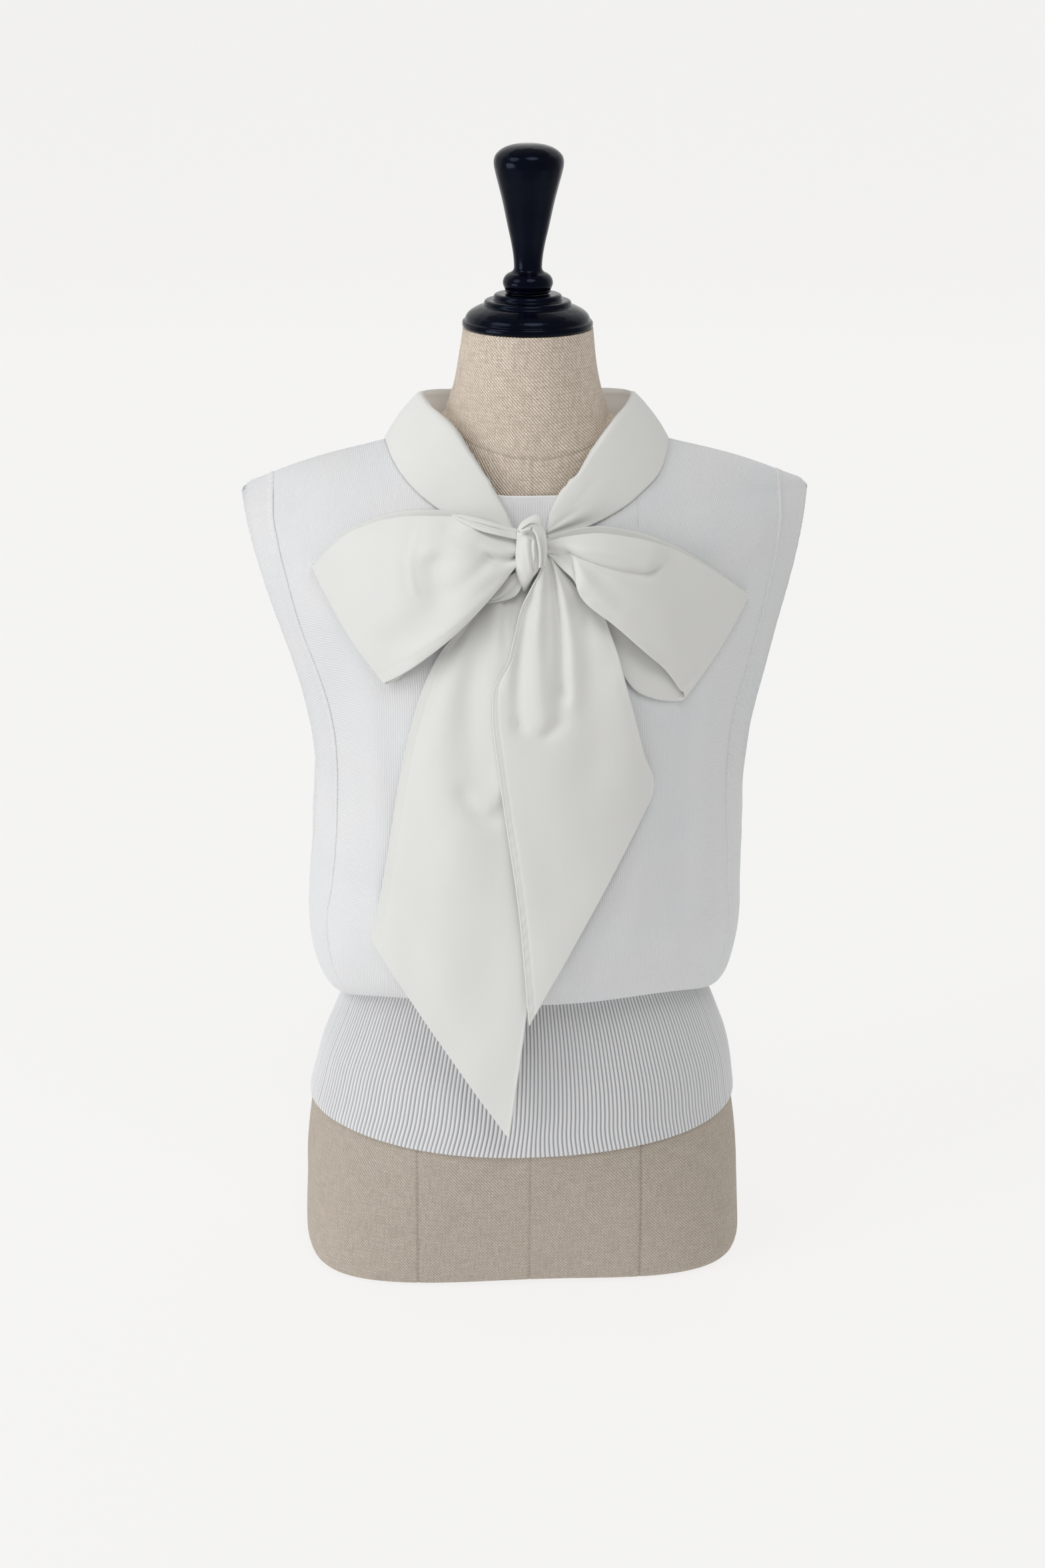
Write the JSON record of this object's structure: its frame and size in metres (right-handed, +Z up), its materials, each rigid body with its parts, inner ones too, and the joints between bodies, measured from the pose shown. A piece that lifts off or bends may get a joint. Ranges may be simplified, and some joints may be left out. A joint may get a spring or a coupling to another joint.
{
  "type": "sleeveless knit top on a dress form",
  "caption": "Sleeveless bloused knit top with armbands, a ribbed waist and a tied woven pussy-bow collar, worn by a limbless tailor's dress form that stands on its base.",
  "frame": {"origin": "centre of the dress form's base, on the surface it stands on", "axes": "+Z up, -Y towards the garment's front, +X towards its right side as seen from the front"},
  "size_m": [0.422, 0.2538, 0.862],
  "materials": {
    "linen": "natural linen canvas cover",
    "lacquer": "turned wood in glossy near-black lacquer",
    "knit": "fine cool white rib knit",
    "woven": "plain woven ivory cotton"
  },
  "bodies": {
    "root": {"form_torso": "linen", "form_cap": "lacquer", "form_finial": "lacquer", "knit_front": "knit", "knit_back": "knit", "armband_left": "knit", "armband_right": "knit", "waist_rib": "knit", "neckband": "knit", "collar": "woven", "bow_knot": "woven", "bow_loop_left": "woven", "bow_loop_right": "woven", "bow_tail_left": "woven", "bow_tail_right": "woven"}
  },
  "joints": []
}
